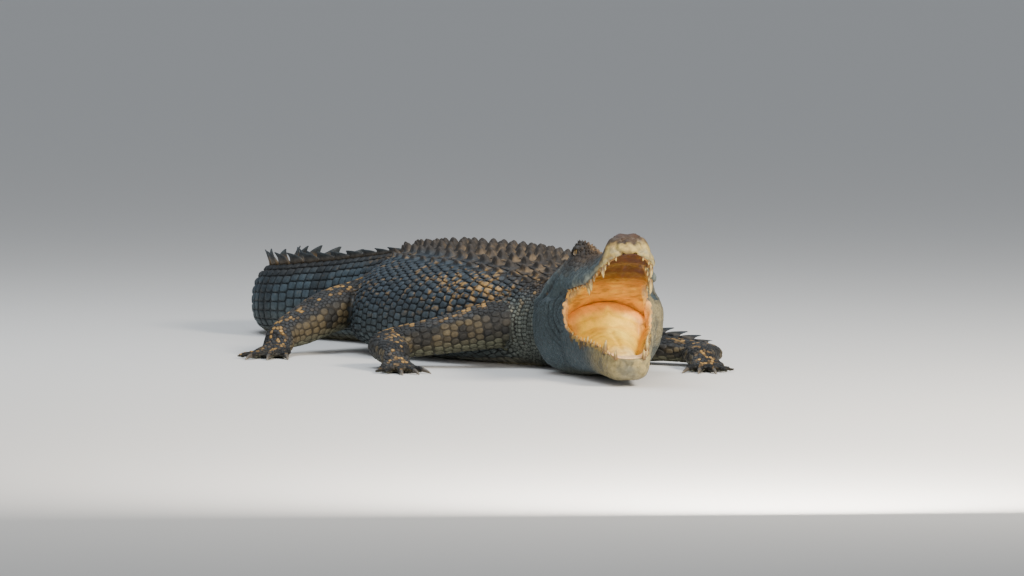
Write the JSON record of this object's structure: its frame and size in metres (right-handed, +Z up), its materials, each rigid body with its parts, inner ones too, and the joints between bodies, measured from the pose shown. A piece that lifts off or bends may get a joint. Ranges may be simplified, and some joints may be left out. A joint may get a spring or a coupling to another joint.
{
  "type": "nile crocodile",
  "caption": "Life-size still model of a Nile crocodile lying on its belly with its jaws wide open, head turned slightly and tail curled round behind it.",
  "frame": {"origin": "on the flat under the belly, on the floor, below the middle of the trunk", "axes": "+X forwards along the trunk, towards the head; +Y to the animal's left; +Z up"},
  "size_m": [2.7616, 1.4035, 0.39],
  "materials": {
    "hide_back": "horny plates, matt, dark grey-brown with paler worn edges",
    "hide_flank": "scaled, matt, olive grey with dark grooves",
    "hide_tail": "scaled in rings, matt, grey-green with dark bands",
    "hide_leg": "scaled, matt, olive yellow blotched with black",
    "hide_throat": "finely scaled and wrinkled, satin, pale grey-green to cream",
    "flesh": "moist, cream yellow to orange pink",
    "eye": "glossy, green-gold with a black slit",
    "tooth": "glossy ivory, stained at the root",
    "claw": "dark horn"
  },
  "bodies": {
    "root": {"head": "hide_back", "eye_right": "eye", "eye_left": "eye", "lower_jaw": "hide_throat", "tongue": "flesh", "neck": "hide_back", "trunk": "hide_flank", "tail_1": "hide_tail", "tail_2": "hide_tail", "tail_3": "hide_tail", "tail_4": "hide_tail", "fore_right_upper": "hide_leg", "fore_right_lower": "hide_leg", "fore_right_foot": "hide_leg", "fore_left_upper": "hide_leg", "fore_left_lower": "hide_leg", "fore_left_foot": "hide_leg", "hind_right_upper": "hide_leg", "hind_right_lower": "hide_leg", "hind_right_foot": "hide_leg", "hind_left_upper": "hide_leg", "hind_left_lower": "hide_leg", "hind_left_foot": "hide_leg"}
  },
  "joints": []
}
